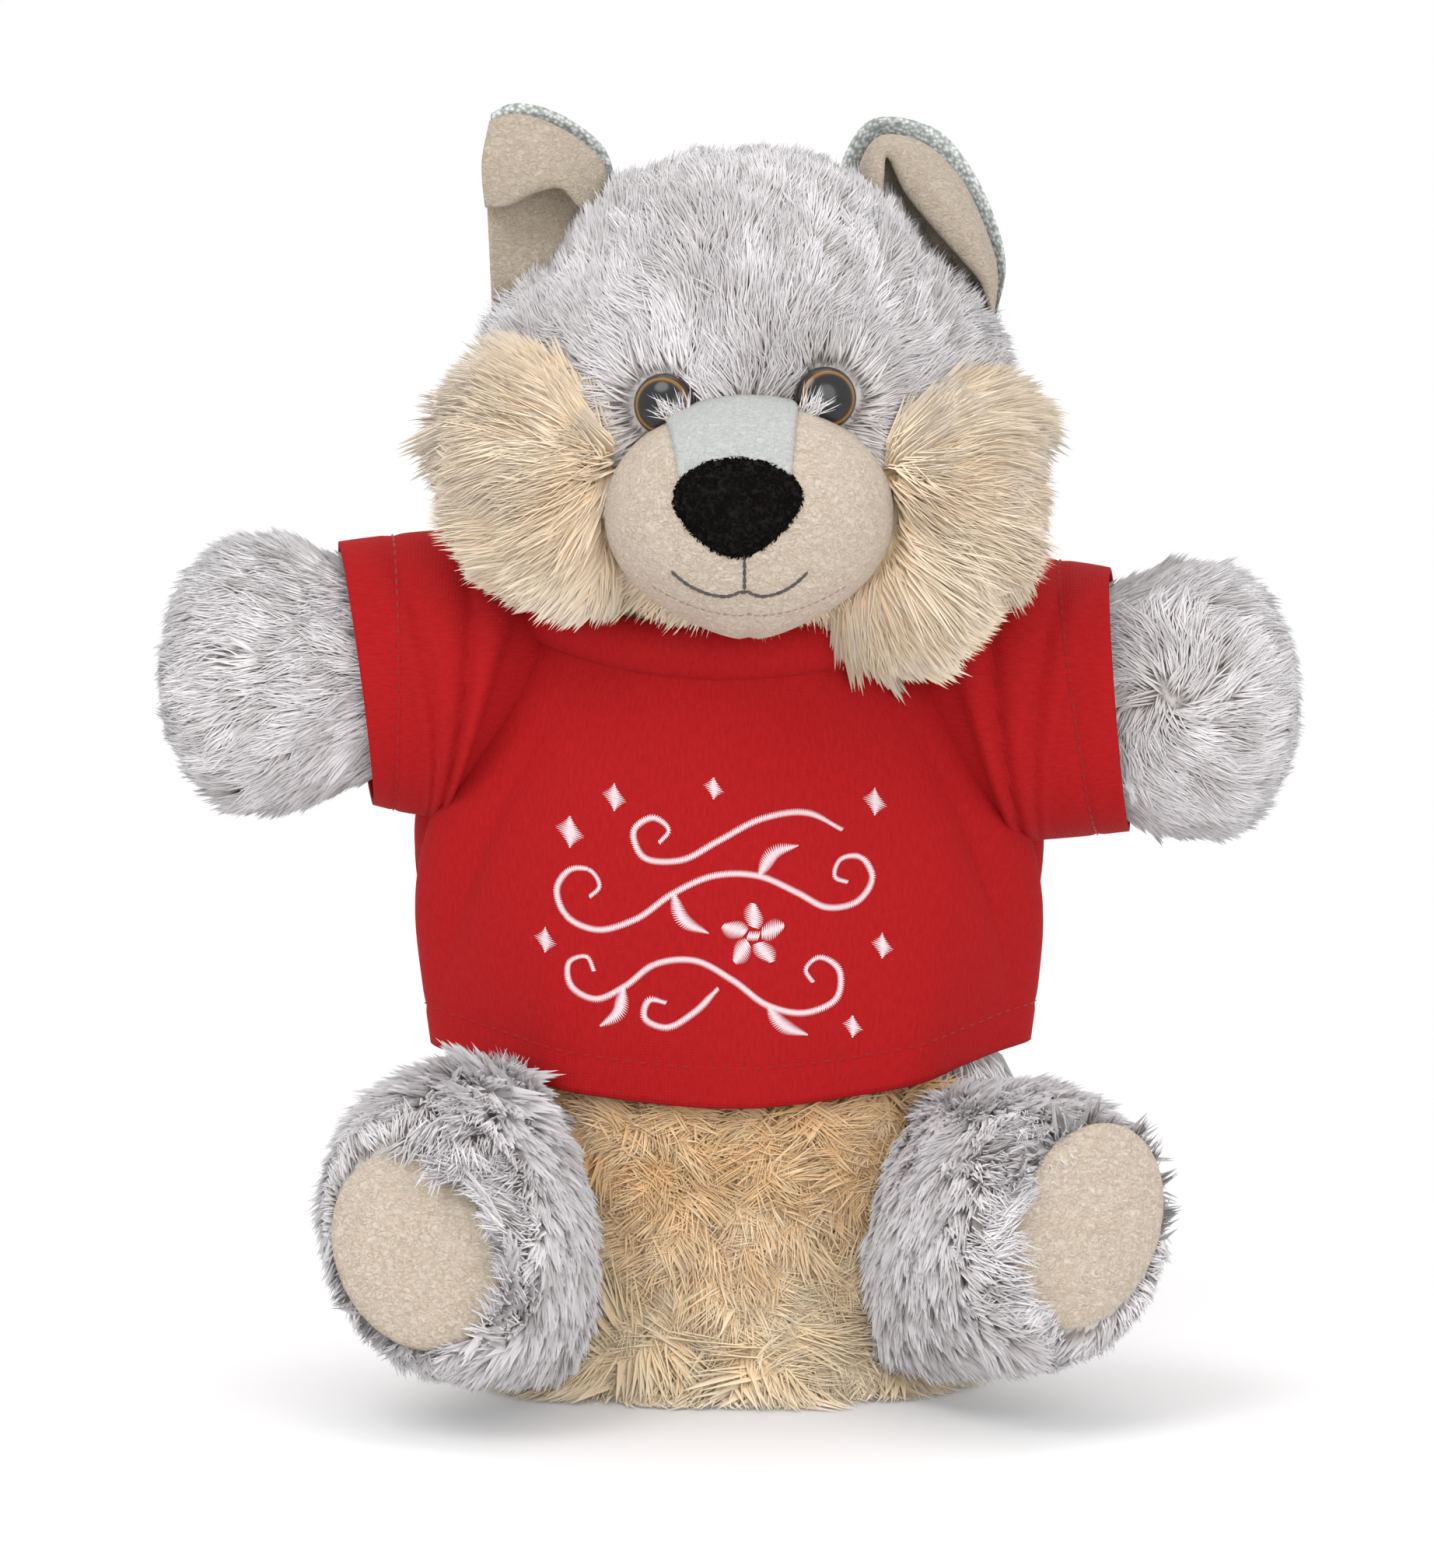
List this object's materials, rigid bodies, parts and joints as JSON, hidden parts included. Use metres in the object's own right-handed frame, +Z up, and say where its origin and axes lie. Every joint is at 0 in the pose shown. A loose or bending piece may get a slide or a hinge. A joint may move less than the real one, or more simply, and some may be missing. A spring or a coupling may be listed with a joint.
{
  "type": "plush hand puppet",
  "caption": "Sitting plush wolf hand puppet with spread mitten arms, stuffed feet, cream ruff and a short-sleeved T-shirt, open underneath for the hand.",
  "frame": {"origin": "on the floor, under the middle of the puppet's overall size", "axes": "+Z is up through the head, -Y is the way that the face looks, +X is to the right of someone facing the puppet"},
  "size_m": [0.2347, 0.1355, 0.2606],
  "materials": {
    "frosted_grey_plush": "matte pile",
    "long_cream_plush": "matte long pile",
    "beige_velour": "matte short pile",
    "pale_grey_velour": "matte short pile",
    "grey_tweed_velour": "matte",
    "black_fleece": "matte",
    "eye_plastic": "polished",
    "washer_nylon": "matte",
    "white_lining": "matte woven",
    "red_jersey": "matte knit"
  },
  "bodies": {
    "root": {"head_crown": "frosted_grey_plush", "finger_pocket_lining": "white_lining", "cheek_left": "long_cream_plush", "cheek_right": "long_cream_plush", "muzzle": "beige_velour", "muzzle_bridge": "pale_grey_velour", "nose": "black_fleece", "eye_left": "eye_plastic", "eye_right": "eye_plastic", "eye_washer_left": "washer_nylon", "eye_washer_right": "washer_nylon", "ear_front_left": "beige_velour", "ear_front_right": "beige_velour", "ear_back_left": "grey_tweed_velour", "ear_back_right": "grey_tweed_velour", "belly_panel": "long_cream_plush", "back_panel": "frosted_grey_plush", "arm_left": "frosted_grey_plush", "arm_right": "frosted_grey_plush", "leg_left": "frosted_grey_plush", "leg_right": "frosted_grey_plush", "sole_left": "beige_velour", "sole_right": "beige_velour", "shirt_front": "red_jersey", "shirt_back": "red_jersey", "shirt_neckband": "red_jersey", "sleeve_left": "red_jersey", "sleeve_right": "red_jersey"}
  },
  "joints": []
}
